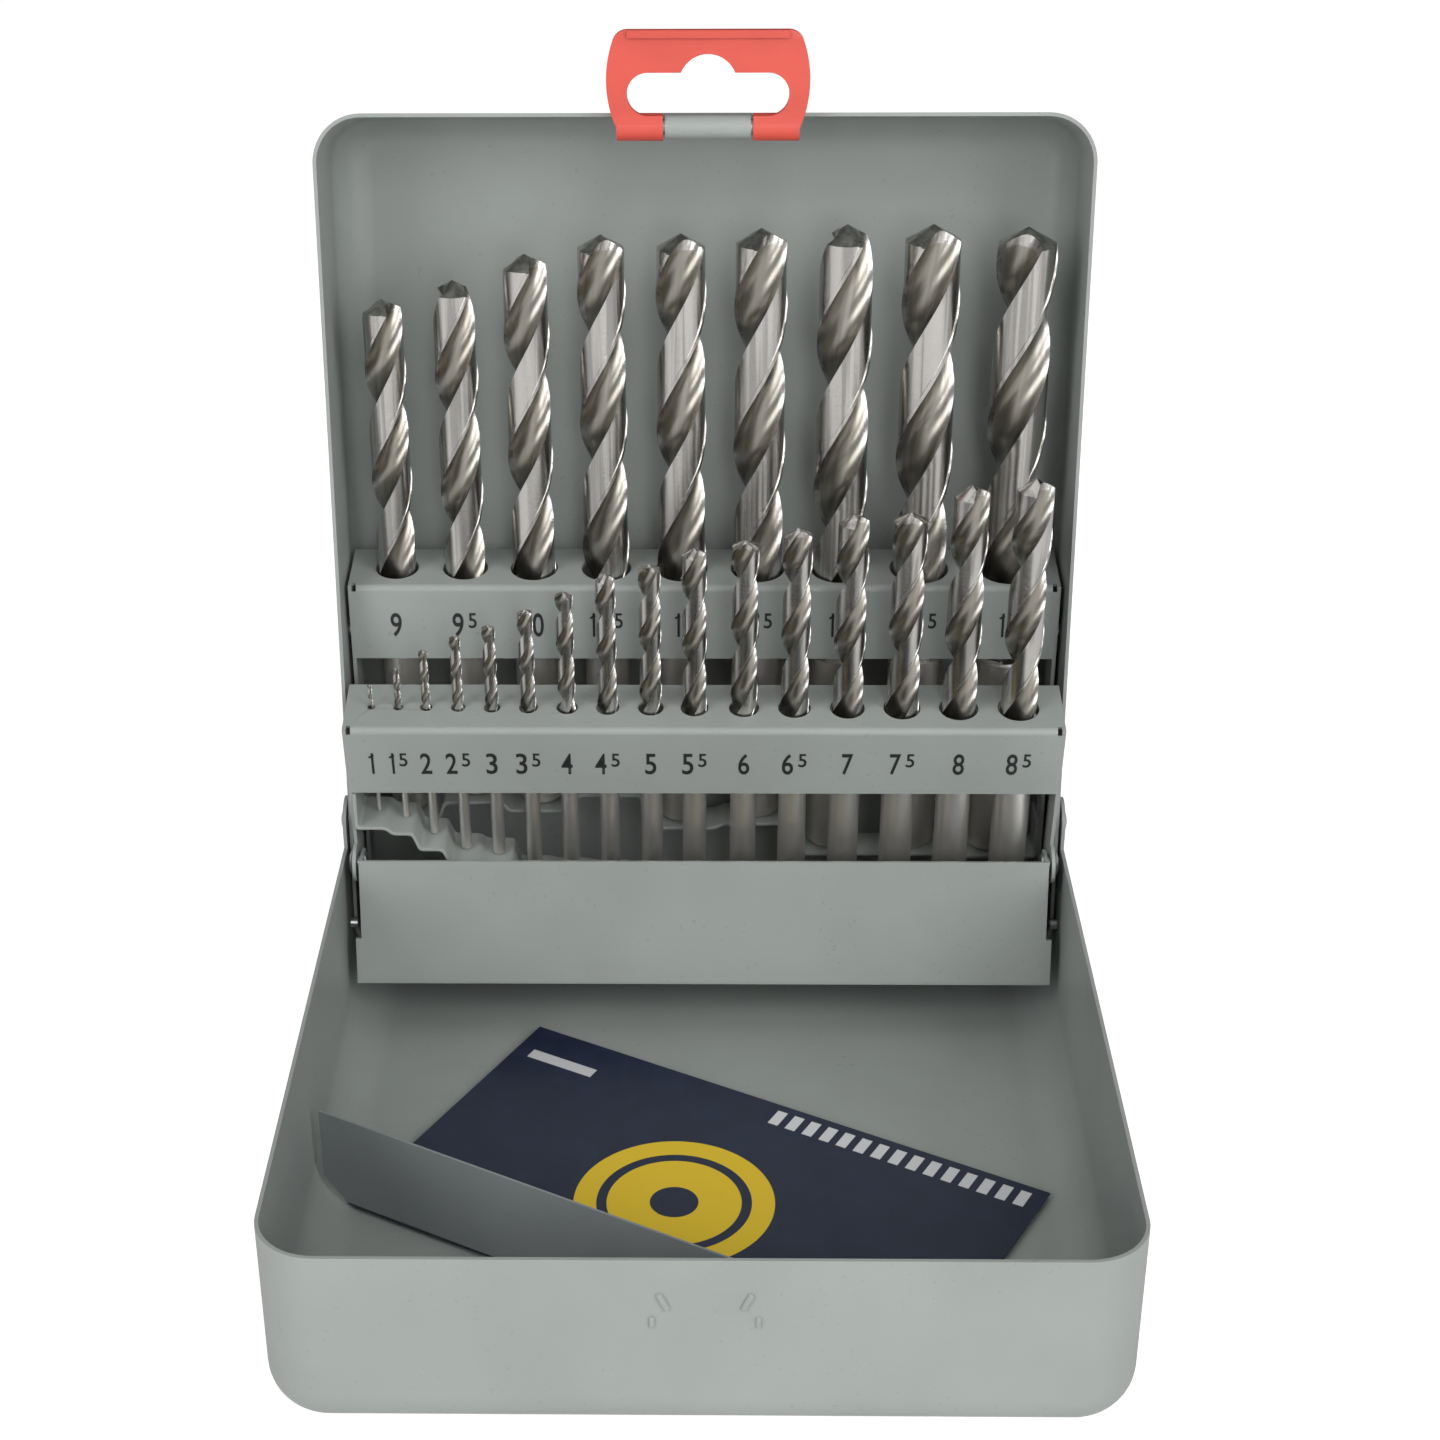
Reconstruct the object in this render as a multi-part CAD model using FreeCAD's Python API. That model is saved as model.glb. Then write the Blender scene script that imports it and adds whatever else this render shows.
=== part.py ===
import FreeCAD, Part
import math
import os

V = FreeCAD.Vector

# A hinged pressed-steel case that holds 25 twist drills in two racks.
# Origin: centre of the front shell's underside. +X right, +Y to the back, +Z up.
# The case stands open: the front shell lies flat, the back shell leans back against its stops.

# sheet and running gaps
sheet = 0.8
side_gap = 0.5
rim_gap = 0.5
rest_gap = 0.3
seat_gap = 0.05
run_gap = 0.06
overrun = 5.0

# front shell
front_w = 167.0
front_reach = 154.8
rear_reach = 36.0
front_h = 43.0
front_corner_r = 12.5
front_floor_r = 10.5
rear_wall_h = 24.5
side_wall_end = 22.0
hinge_above_rim = 4.5
ear_r = 5.6

# back shell
open_lean = 6.4
back_top = 161.6
back_bottom = 35.0
back_d = 30.0
back_corner_r = 10.5
back_floor_r = 9.0
back_top_slope = 8.5

# hinge rivets
rivet_r = 1.6
rivet_head_r = 3.3
rivet_head_h = 1.0
rivet_tail_h = 0.6

# latch dimples on the front wall: radius, length, half gap, drop under the rim, lean
dimples = [(0.7, 3.0, 7.8, 9.6, 25.0), (0.6, 1.6, 9.9, 14.4, 0.0)]

# tray in the back shell's foot
tray_side_gap = 1.1
tray_leg_gap = 0.7
tray_floor_in = 10.4
tray_floor_back = 8.0
apron_foot = 17.0
apron_top_in = 2.5
apron_h = 29.9
apron_step_h = 11.0
tray_ear_d = 7.6
tray_ear_low = 7.0
tray_rivet_v = -10.0
tray_rivet_w = -6.5

# stop pins on the front shell's side walls
stop_r = 1.2
stop_over = 0.4
stop_w = -24.0

# racks: flange with holes, numbered face, side legs
rack_side_gap = 0.9
flange_d = 16.6
face_h = 18.2
bend_r = 1.4
hole_play = 0.4
hole_back = 8.3
notch_r = 1.0
leg_w = 9.0
leg_ear_r = 4.4

# back rack, its drills upright
back_rack_y = 8.5
back_rack_z = 103.1
back_rack_tilt = 7.0
back_fold_open = 5.5
back_drill_tilt = 0.0
back_leg_foot = 75.0
back_leg_foot_w = 6.6

# front rack, its drills leaning to the front
front_rack_y = -15.5
front_rack_z = 79.1
front_rack_tilt = 11.0
front_fold_open = 0.0
front_drill_tilt = 5.0
front_leg_foot = 60.0
front_back_swing = 8.0

# drill rests under the two rows
rest_front = 6.6
front_rest_back = 6.0
back_rest_back = 3.2
rest_slope_half_run = 0.8
rest_end_rise = 9.0

# rivets that hold the back rack's legs to the back shell
spot_r = 1.5
spot_y = 13.0
spot_z = 90.5

# drill table: diameter, total length, flute length, place along the rack, depth below the flange,
# distance from the point down to where a land's leading edge faces the front
front_row = [
    (1.0, 34.0, 12.0, -74.7, 28.0, 2.0), (1.5, 40.0, 18.0, -68.6, 29.6, 3.0),
    (2.0, 49.0, 24.0, -62.3, 34.0, 4.5), (2.5, 57.0, 30.0, -55.1, 38.3, 6.0),
    (3.0, 61.0, 33.0, -47.5, 39.6, 7.0), (3.5, 70.0, 39.0, -39.3, 44.6, 9.5),
    (4.0, 75.0, 43.0, -30.6, 45.2, 8.0), (4.5, 80.0, 47.0, -21.5, 45.8, 13.8),
    (5.0, 86.0, 52.0, -11.8, 49.3, 11.4), (5.5, 93.0, 57.0, -2.0, 52.4, 16.8),
    (6.0, 93.0, 57.0, 9.1, 50.4, 13.4), (6.5, 101.0, 63.0, 20.4, 55.4, 17.6),
    (7.0, 109.0, 69.0, 32.3, 60.0, 21.9), (7.5, 109.0, 69.0, 44.5, 59.7, 17.8),
    (8.0, 117.0, 75.0, 57.2, 61.2, 25.0), (8.5, 117.0, 75.0, 70.6, 59.6, 26.1),
]
back_row = [
    (9.0, 125.0, 81.0, -70.0, 61.4, 30.7), (9.5, 125.0, 81.0, -54.4, 57.2, 37.0),
    (10.0, 133.0, 87.0, -38.7, 59.4, 33.7), (10.5, 133.0, 87.0, -22.2, 55.2, 28.9),
    (11.0, 142.0, 94.0, -5.0, 64.0, 29.9), (11.5, 142.0, 94.0, 12.3, 62.8, 34.3),
    (12.0, 151.0, 101.0, 30.6, 71.0, 43.5), (12.5, 151.0, 101.0, 49.0, 71.0, 35.0),
    (13.0, 151.0, 101.0, 69.2, 71.6, 25.5),
]

# twist drill form, as shares of the drill's radius or diameter
helix_angle = 29.0
point_angle = 118.0
section_turn = 30.0
land_half_angle = 42.0
web_share = 0.3
flute_cuts = 4
chisel_share = 0.12
shank_bevel_share = 0.12

# hanger and the roll that it turns on, heights from the roll's axis
roll_r = 2.4
roll_half_w = 8.9
roll_v = -7.4
hanger_x = 0.8
pin_half_w = 16.6
foot_r = 2.8
foot_inner = 9.3
foot_outer = 18.9
foot_cap = 1.6
hanger_half_w = 20.9
hanger_waist = 8.5
hanger_shoulder_w = 19.5
hanger_shoulder = 17.7
hanger_bulge = 0.53
hanger_top_half_w = 16.6
hanger_h = 19.7
hanger_t = 2.0
hanger_front = 2.6
slot_half_w = 16.7
slot_low = 2.6
slot_high = 11.2
bump_r = 6.0
bump_top = 14.9
lip_h = 1.6
lip_t = 0.7

# card in the front shell with its upright flap, place from the hinge's line
card_len = 129.0
card_wid = 76.5
card_t = 0.5
card_lift = 1.2
card_turn = -29.0
card_x = -0.5
card_y = -84.0
flap_h = 21.8
flap_end = 6.0
flap_end_rise = 5.0

# places that follow from the sizes above
shell_len = front_reach + rear_reach
hinge_y = shell_len / 2 - rear_reach
hinge_z = front_h + hinge_above_rim
hinge_in = hinge_above_rim - rim_gap
back_w = front_w - 2 * (sheet + side_gap)
back_inner_x = back_w / 2 - sheet
front_inner_x = front_w / 2 - sheet
rack_half_w = back_inner_x - rack_side_gap
tray_half_w = back_inner_x - tray_side_gap
tray_top_half_w = rack_half_w - sheet - tray_leg_gap
tray_floor_half_w = back_inner_x - tray_floor_in
lean_rad = math.radians(open_lean)

os.makedirs("parts", exist_ok=True)


def save(name, shape):
    """Write one node, all its solids in one file."""
    shape.exportStep("parts/" + name + ".step")
    print(name, len(shape.Solids), round(shape.Volume, 1), shape.isValid())


def box(x0, x1, y0, y1, z0, z1):
    return Part.makeBox(x1 - x0, y1 - y0, z1 - z0, V(x0, y0, z0))


def rod_x(r, x0, x1, y, z):
    """A cylinder along X from x0 to x1."""
    return Part.makeCylinder(r, x1 - x0, V(x0, y, z), V(1, 0, 0))


def plate_x(points, x0, x1):
    """A polygon in the side view (y, z), as thick as x0 to x1."""
    wire = Part.makePolygon([V(x0, y, z) for y, z in points + points[:1]])
    return Part.Face(wire).extrude(V(x1 - x0, 0, 0))


def mirrored(shape):
    """The left one of a pair."""
    return shape.mirror(V(0, 0, 0), V(1, 0, 0))


def save_pair(name, right):
    save(name + "_right", right)
    save(name + "_left", mirrored(right))


def pan(w, length, depth, corner_r, floor_r, slope):
    """An open-topped pressed pan: x centred, y from 0 to length, floor at z 0.
    The wall at the far end leans in towards the floor by the slope."""
    t = math.radians(slope)

    def block(grow, rise):
        def end(z):
            return length - grow / math.cos(t) - (depth - z) * math.tan(t)
        top = depth + rise
        b = plate_x([(grow, grow), (end(grow), grow), (end(top), top), (grow, top)],
                    -w / 2 + grow, w / 2 - grow)
        upright = [e for e in b.Edges if abs(e.tangentAt(e.FirstParameter).z) > 0.5]
        b = b.makeFillet(corner_r - grow, upright)
        low = [e for e in b.Edges if e.BoundBox.ZMax < grow + seat_gap]
        return b.makeFillet(floor_r - grow, low)
    return block(0, 0).cut(block(sheet, overrun))


def leaned(shape):
    """From the back shell's own frame (hinge axis at the origin) to its place."""
    s = shape.copy()
    s.rotate(V(0, 0, 0), V(1, 0, 0), -open_lean)
    s.translate(V(0, hinge_y, hinge_z))
    return s


def lean_point(v, w):
    """The place of a point of the back shell's own frame, as (y, z)."""
    return (hinge_y + v * math.cos(lean_rad) + w * math.sin(lean_rad),
            hinge_z - v * math.sin(lean_rad) + w * math.cos(lean_rad))


def tipped(shape, tilt, y, z):
    """Tip a shape to the front about X through the origin, then put it at y, z."""
    s = shape.copy()
    s.rotate(V(0, 0, 0), V(1, 0, 0), tilt)
    s.translate(V(0, y, z))
    return s


def tip_point(a, b, tilt, y, z):
    t = math.radians(tilt)
    return (y + a * math.cos(t) - b * math.sin(t), z + a * math.sin(t) + b * math.cos(t))


def thick_line(points, t):
    """A bent strip in the front view (x, z): the points are its top, t its thickness."""
    low = []
    for i, (x, z) in enumerate(points):
        ends = [points[max(i - 1, 0)], points[i], points[min(i + 1, len(points) - 1)]]
        ways = []
        for (xa, za), (xb, zb) in zip(ends, ends[1:]):
            run = math.hypot(xb - xa, zb - za)
            if run > 0:
                ways.append(((za - zb) / run, (xb - xa) / run))
        nx, nz = sum(w[0] for w in ways), sum(w[1] for w in ways)
        k = len(ways) / (nx * nx + nz * nz)
        low.append((x - t * k * nx, z - t * k * nz))
    return points + low[::-1]


def plate_y(points, y0, y1):
    """A polygon in the front view (x, z), as deep as y0 to y1."""
    wire = Part.makePolygon([V(x, y0, z) for x, z in points + points[:1]])
    return Part.Face(wire).extrude(V(0, y1 - y0, 0))


def dome(r, h, x, y, z):
    """A rivet head on the right: a slice of a ball, its flat side at x."""
    ball_r = (r * r + h * h) / (2 * h)
    ball = Part.makeSphere(ball_r, V(x - ball_r + h, y, z))
    return ball.common(rod_x(r, x, x + h, y, z))


# front shell
shell = pan(front_w, shell_len, front_h, front_corner_r, front_floor_r, 0)
shell.translate(V(0, -shell_len / 2, 0))
wall_end = hinge_y + side_wall_end
shell = shell.cut(box(-front_w, front_w, wall_end, shell_len, rear_wall_h, front_h + overrun))
ears = []
for side in (-1, 1):
    x0 = min(side * front_inner_x, side * front_w / 2)
    ear = rod_x(ear_r, x0, x0 + sheet, hinge_y, hinge_z)
    neck = box(x0, x0 + sheet, hinge_y - ear_r, hinge_y + ear_r, front_h - sheet, hinge_z)
    bore = rod_x(rivet_r, x0 - overrun, x0 + sheet + overrun, hinge_y, hinge_z)
    stop_y, stop_z = lean_point(-hinge_in - rest_gap - stop_r, stop_w)
    seat = rod_x(stop_r, x0 - overrun, x0 + sheet + overrun, stop_y, stop_z)
    shell = shell.fuse(ear.fuse(neck)).cut(bore).cut(seat)
for r, length, half_gap, drop, lean in dimples:
    for side in (-1, 1):
        x, z = hanger_x + side * half_gap, front_h - drop
        t = math.radians(side * lean)
        way = V(math.sin(t), 0, math.cos(t))
        mid = V(x, -shell_len / 2, z)
        low = mid - way * (length / 2)
        dimple = Part.makeCylinder(r, length, low, way)
        for end in (low, low + way * length):
            dimple = dimple.fuse(Part.makeSphere(r, end))
        shell = shell.fuse(dimple)
save("front_shell", shell.removeSplitter())

# rivets and stop pins in the front shell
inner, outer = back_inner_x - rest_gap, front_w / 2
tail = inner - rivet_tail_h
rivet = rod_x(rivet_r, tail, outer, hinge_y, hinge_z)
rivet = rivet.fuse(rod_x(rivet_r + sheet, tail, inner, hinge_y, hinge_z))
rivet = rivet.fuse(dome(rivet_head_r, rivet_head_h, outer, hinge_y, hinge_z))
save_pair("hinge_rivet", rivet.removeSplitter())
stop = rod_x(stop_r, back_inner_x - stop_over, outer, stop_y, stop_z)
stop = stop.fuse(dome(stop_r + sheet, rivet_tail_h, outer, stop_y, stop_z))
save_pair("stop_pin", stop.removeSplitter())

# back shell with the rolled lip that carries the hanger
back = pan(back_w, back_top + back_bottom, back_d, back_corner_r, back_floor_r, back_top_slope)
back.rotate(V(0, 0, 0), V(1, 0, 0), 90)
back.translate(V(0, back_d - hinge_in, -back_bottom))
roll_w = back_top - roll_r
tongue = box(hanger_x - roll_half_w, hanger_x + roll_half_w, roll_v, -hinge_in,
             back_top - sheet, back_top)
roll = rod_x(roll_r, hanger_x - roll_half_w, hanger_x + roll_half_w, roll_v, roll_w)
roll_bore = rod_x(roll_r - sheet, -back_w, back_w, roll_v, roll_w)
back = back.fuse(tongue.fuse(roll)).cut(roll_bore)
back = back.cut(rod_x(rivet_r + run_gap, -back_w, back_w, 0, 0))
back = leaned(back.removeSplitter())
save("back_shell", back)

# hanger pin
pin_r = roll_r - sheet
pin = rod_x(pin_r, hanger_x - pin_half_w, hanger_x + pin_half_w, roll_v, roll_w)
save("hanger_pin", leaned(pin))

# tray: floor, apron and two ears, in the back shell's frame
floor_w = sheet - back_bottom


def apron_v(w):
    return -apron_foot + apron_top_in * (w - floor_w) / apron_h


def apron_band(low, high):
    return [(apron_v(low), low), (apron_v(low) + sheet, low),
            (apron_v(high) + sheet, high), (apron_v(high), high)]


apron_end = floor_w + apron_h
tray = box(-tray_half_w, tray_half_w, -apron_foot, -hinge_in - side_gap, floor_w, floor_w + sheet)
tray = tray.fuse(box(-tray_floor_half_w, tray_floor_half_w, -apron_foot, tray_floor_back,
                     floor_w, floor_w + sheet))
tray = tray.fuse(plate_x(apron_band(floor_w, floor_w + apron_step_h), -tray_half_w, tray_half_w))
tray = tray.fuse(plate_x(apron_band(floor_w, apron_end), -tray_top_half_w, tray_top_half_w))
ear_low = tray_rivet_w - tray_ear_low
ear = plate_x([(apron_v(ear_low), ear_low), (apron_v(ear_low) + tray_ear_d, ear_low),
               (apron_v(apron_end) + tray_ear_d, apron_end), (apron_v(apron_end), apron_end)],
              tray_top_half_w - sheet, tray_top_half_w)
tray = tray.fuse(ear).fuse(mirrored(ear))
tray = tray.cut(rod_x(rivet_r, -back_w, back_w, tray_rivet_v, tray_rivet_w))
save("tray", leaned(tray.removeSplitter()))

# tray rivets, the front rack's pivots
inner, outer = tray_top_half_w - sheet, rack_half_w + rest_gap
tail = inner - rivet_tail_h
rivet = rod_x(rivet_r, tail, outer, tray_rivet_v, tray_rivet_w)
rivet = rivet.fuse(rod_x(rivet_r + sheet, tail, inner, tray_rivet_v, tray_rivet_w))
rivet = rivet.fuse(dome(rivet_head_r, rivet_head_h, outer, tray_rivet_v, tray_rivet_w))
save_pair("tray_rivet", leaned(rivet.removeSplitter()))


def rack(tilt, fold_open, y, z, drill_tilt, row, leg):
    """Folded sheet: flange with holes, face, relief notches and the two legs."""
    face = box(-rack_half_w, rack_half_w, 0, sheet, -face_h, 0)
    face.rotate(V(0, 0, 0), V(1, 0, 0), -fold_open)
    body = box(-rack_half_w, rack_half_w, 0, flange_d, -sheet, 0).fuse(face).removeSplitter()
    edge = [e for e in body.Edges if e.BoundBox.YMax < seat_gap and e.BoundBox.ZMin > -seat_gap]
    body = body.makeFillet(bend_r, edge)
    for side in (-1, 1):
        corner = rod_x(notch_r, 0, sheet + notch_r, sheet, -sheet)
        corner.translate(V(side * rack_half_w - (sheet + notch_r) * (side + 1) / 2, 0, 0))
        body = body.cut(corner)
    body = tipped(body, tilt, y, z)
    right = plate_x(leg, rack_half_w - sheet, rack_half_w)
    body = body.fuse(right).fuse(mirrored(right))
    hy, hz = tip_point(hole_back, 0, tilt, y, z)
    for d, total, flute, x, depth, down in row:
        hole = Part.makeCylinder(d / 2 + hole_play, 2 * overrun, V(x, 0, -overrun))
        body = body.cut(tipped(hole, drill_tilt, hy, hz))
    return body.removeSplitter(), hy, hz


def rests(row, back_reach, drill_tilt, hy, hz):
    """The strip that the drills of one row stand on, its ends turned up along the legs."""
    end = rack_half_w - 2 * sheet
    tops = [(x, -depth - rest_gap) for d, total, flute, x, depth, down in row]
    line = [(-end, tops[0][1] + rest_end_rise), (-end, tops[0][1])]
    for (one, two), (low, high) in zip(zip(row, row[1:]), zip(tops, tops[1:])):
        mid = (one[3] + one[0] / 2 + two[3] - two[0] / 2) / 2
        line += [(mid - rest_slope_half_run, low[1]), (mid + rest_slope_half_run, high[1])]
    line += [(end, tops[-1][1]), (end, tops[-1][1] + rest_end_rise)]
    strip = plate_y(thick_line(line, sheet), -rest_front, back_reach)
    return tipped(strip, drill_tilt, hy, hz)


def flute_points():
    """Inner points of a flute, as (angle, share of the radius): an arc from land to land."""
    side = math.radians(90 - land_half_angle)
    centre = (1 - web_share ** 2) / (2 * (math.cos(side) - web_share))
    r = centre - web_share
    first = math.atan2(math.sin(side), math.cos(side) - centre)
    points = []
    for i in range(1, flute_cuts):
        a = first + (2 * math.pi - 2 * first) * i / flute_cuts
        out, across = centre + r * math.cos(a), r * math.sin(a)
        points.append((90 - math.degrees(math.atan2(across, out)), math.hypot(out, across)))
    return points


def flute_pitch(d):
    """The height in which a flute of this helix angle goes once round."""
    return math.pi * d / math.tan(math.radians(helix_angle))


def drill(d, total, flute):
    """A twist drill on its foot at the origin: bevelled plain shank, then the flutes."""
    r = d / 2
    pitch = flute_pitch(d)
    start = total - flute
    tip_h = r * (1 - chisel_share) / math.tan(math.radians(point_angle / 2))
    shares = [(-land_half_angle, 1), (0, 1), (land_half_angle, 1)] + flute_points()
    steps = math.ceil((flute - tip_h) * 360 / pitch / section_turn)
    heights = [start + (flute - tip_h) * i / steps for i in range(steps + 1)] + [total]
    wires = []
    for i, h in enumerate(heights):
        turn = (h - start) / pitch * 360
        size = chisel_share if i > steps else 1
        points = []
        for half in (0, 180):
            for angle, share in shares:
                a = math.radians(turn + half + angle)
                p = r * size * (share if i > 0 else 1)
                points.append(V(p * math.cos(a), p * math.sin(a), h))
        wires.append(Part.makePolygon(points + points[:1]))
    bevel = d * shank_bevel_share
    body = Part.makeCone(r - bevel, r, bevel)
    body = body.fuse(Part.makeCylinder(r, start - bevel, V(0, 0, bevel)))
    return body.fuse(Part.makeLoft(wires, True, True))


def row_of_drills(row, drill_tilt, hy, hz):
    for d, total, flute, x, depth, down in row:
        piece = drill(d, total, flute)
        turn = -90 - land_half_angle - 360 * (flute - down) / flute_pitch(d)
        piece.rotate(V(0, 0, 0), V(0, 0, 1), turn % 180)
        piece.translate(V(x, 0, -depth))
        save("drill_" + str(d).replace(".", "_"), tipped(piece, drill_tilt, hy, hz))


# back rack, fixed in the back shell
y, z = hinge_y + back_rack_y, back_rack_z
top_front = tip_point(0, 0, back_rack_tilt, y, z)
top_back = tip_point(leg_w, 0, back_rack_tilt, y, z)
foot_y = tip_point(hole_back, 0, back_rack_tilt, y, z)[0] - rest_front
back_leg = [top_front, (foot_y, z - back_leg_foot), (foot_y + back_leg_foot_w, z - back_leg_foot),
            (foot_y + leg_w, spot_z), top_back]
body, hy, hz = rack(back_rack_tilt, back_fold_open, y, z, back_drill_tilt, back_row, back_leg)
save("back_rack", body)
save("back_rests", rests(back_row, back_rest_back, back_drill_tilt, hy, hz))
save_pair("rack_rivet", rod_x(spot_r, rack_half_w, back_inner_x, hinge_y + spot_y, spot_z))
row_of_drills(back_row, back_drill_tilt, hy, hz)

# front rack, turns on the tray rivets
y, z = hinge_y + front_rack_y, front_rack_z
pivot_y, pivot_z = lean_point(tray_rivet_v, tray_rivet_w)
corners = [(0, 0), (0, -front_leg_foot), (leg_w, -front_leg_foot), (leg_w, 0)]
front_leg = [tip_point(a, b, front_rack_tilt, y, z) for a, b in corners]
body, hy, hz = rack(front_rack_tilt, front_fold_open, y, z, front_drill_tilt, front_row, front_leg)
for side in (-1, 1):
    x0 = min(side * rack_half_w, side * (rack_half_w - sheet))
    ear = rod_x(leg_ear_r, x0, x0 + sheet, pivot_y, pivot_z)
    bridge = box(x0, x0 + sheet, pivot_y, pivot_y + leg_ear_r, pivot_z - leg_ear_r,
                 pivot_z + leg_ear_r)
    body = body.fuse(ear.fuse(bridge))
body = body.cut(rod_x(rivet_r + run_gap, -front_w, front_w, pivot_y, pivot_z))
save("front_rack", body.removeSplitter())
save("front_rests", rests(front_row, front_rest_back, front_drill_tilt, hy, hz))
row_of_drills(front_row, front_drill_tilt, hy, hz)

# hanger, drawn in x and height from the roll's axis


def arc(a, b, c):
    return Part.Arc(V(a[0], 0, a[1]), V(b[0], 0, b[1]), V(c[0], 0, c[1])).toShape()


def line(a, b):
    return Part.LineSegment(V(a[0], 0, a[1]), V(b[0], 0, b[1])).toShape()


def flip(p):
    return (-p[0], p[1])


heel, waist = (foot_outer, 0), (hanger_half_w, hanger_waist)
shoulder, crown = (hanger_shoulder_w, hanger_shoulder), (hanger_top_half_w, hanger_h)
chord_x, chord_z = shoulder[0] - crown[0], crown[1] - shoulder[1]
push = hanger_bulge / math.hypot(chord_x, chord_z)
knee = ((shoulder[0] + crown[0]) / 2 + chord_z * push,
        (shoulder[1] + crown[1]) / 2 + chord_x * push)
outline = Part.Wire([arc(heel, waist, shoulder), arc(shoulder, knee, crown),
                     line(crown, flip(crown)), arc(flip(crown), flip(knee), flip(shoulder)),
                     arc(flip(shoulder), flip(waist), flip(heel)), line(flip(heel), heel)])
loop = Part.Face(outline).extrude(V(0, hanger_t, 0))
loop.translate(V(0, -hanger_front, 0))
slot_r = (slot_high - slot_low) / 2
slot_mid = slot_half_w - slot_r
window = box(-slot_mid, slot_mid, -overrun, overrun, slot_low, slot_high)
for x in (-slot_mid, slot_mid):
    window = window.fuse(Part.makeCylinder(slot_r, 2 * overrun, V(x, -overrun, slot_low + slot_r),
                                           V(0, 1, 0)))
bump = Part.makeCylinder(bump_r, 2 * overrun, V(0, -overrun, bump_top - bump_r), V(0, 1, 0))
window = window.fuse(bump)
window = window.fuse(box(-foot_inner, foot_inner, -overrun, overrun, -overrun, slot_high))
rib = box(-hanger_top_half_w, hanger_top_half_w, -hanger_front - lip_t, -hanger_front,
          hanger_h - lip_h, hanger_h)
loop = loop.cut(window).fuse(rib)
for side in (-1, 1):
    a, b = side * foot_inner, side * foot_outer
    foot = rod_x(foot_r, min(a, b), max(a, b), 0, 0)
    a, b = 0, side * (foot_outer - foot_cap)
    bore = rod_x(pin_r + run_gap, min(a, b), max(a, b), 0, 0)
    loop = loop.fuse(foot).cut(bore)
loop = loop.removeSplitter()
loop.translate(V(hanger_x, roll_v, roll_w))
save("hanger", leaned(loop))

# card that lies in the front shell, with its long edge's flap folded up
card = box(-card_len / 2, card_len / 2, -card_wid / 2, card_wid / 2, 0, card_t)
edge_x, edge_y = -card_len / 2, -card_wid / 2
flap_top = card_t + flap_h
flap = plate_y([(edge_x - flap_end, card_t + flap_end_rise), (edge_x, card_t),
                (-edge_x, card_t), (-edge_x, flap_top), (edge_x - flap_end, flap_top)],
               edge_y, edge_y + card_t)
for name, piece in (("insert_card", card), ("card_flap", flap)):
    piece.rotate(V(0, 0, 0), V(0, 0, 1), card_turn)
    piece.translate(V(card_x, hinge_y + card_y, sheet + card_lift))
    save(name, piece)
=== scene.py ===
import math

import bmesh
import bpy
from bpy.props import FloatProperty, FloatVectorProperty, IntProperty, PointerProperty
from mathutils import Matrix, Vector


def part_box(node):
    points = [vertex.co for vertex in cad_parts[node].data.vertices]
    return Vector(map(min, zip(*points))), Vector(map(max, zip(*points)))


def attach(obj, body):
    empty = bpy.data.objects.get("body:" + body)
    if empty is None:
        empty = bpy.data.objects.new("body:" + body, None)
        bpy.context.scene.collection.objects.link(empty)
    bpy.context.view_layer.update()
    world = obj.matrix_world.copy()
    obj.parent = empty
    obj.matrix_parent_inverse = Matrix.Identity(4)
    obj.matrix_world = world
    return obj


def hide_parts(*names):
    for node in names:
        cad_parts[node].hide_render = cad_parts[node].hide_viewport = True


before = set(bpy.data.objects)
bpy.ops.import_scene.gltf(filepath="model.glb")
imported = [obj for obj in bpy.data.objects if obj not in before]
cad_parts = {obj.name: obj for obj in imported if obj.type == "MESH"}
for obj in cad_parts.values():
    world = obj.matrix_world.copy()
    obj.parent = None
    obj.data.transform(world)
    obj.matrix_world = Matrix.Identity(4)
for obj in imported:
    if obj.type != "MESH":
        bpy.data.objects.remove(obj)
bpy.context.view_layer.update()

bl_info = {
    "name": "Twist drill case",
    "version": (1, 0, 0),
    "blender": (4, 5, 0),
    "location": "View3D > Sidebar > Drill case",
    "description": "A hinged sheet-steel case with two racks of graded twist drills",
    "category": "Object",
}

# a millimetre in metres
MM = 0.001

# how near to an end face a point counts as on it, and how far under a drill's cone the grooves'
# darker steel stops
NEAR = 0.00002
CONE_GAP = 0.00003

# a CAD node's copy: what is merged to one point and to one flat face, and from what angle on an
# edge is rounded
MERGE = 0.000002
FLAT = math.radians(0.6)
ROUNDED_ABOVE = math.radians(28)

# the bends of a rest strip, told from its cut ends by their direction, their faces and their angle
ACROSS_SHARE = 0.95
CUT_END_AREA = 0.000015
BEND_ANGLE = math.radians(8)
BEND_SEGMENTS = 4

# the printed sizes: the letters' boldness, the ink's lift off the sheet, and the small raised 5
LETTER_BOLD = 0.012
INK_LIFT = 0.00005
RAISED_WIDTH_SHARE = 1.15
RAISED_GAP_SHARE = 0.4

# the printed 1: its stem and its slanting flag, as shares of a digit's width or height
STEM_SHARE = 0.26
RAW_STEM_SHARE = 0.2
FLAG_ROOM_SHARE = 0.3
FLAG_LENGTH_SHARE = 0.55
FLAG_THICK_SHARE = 0.085
FLAG_HEIGHT_SHARE = 0.84
FLAG_SHIFT_SHARE = 0.1
FLAG_LEAN = math.radians(-32)

# a drill's section: the points on a land, those on its raised margin, the margin with the step
# behind it as a share of the margin, and the points on which the heel comes down
LAND_POINTS_SHARE = 0.24
MARGIN_POINTS = 2
MARGIN_STEP_SHARE = 1.12
HEEL_POINTS = 3

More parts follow.
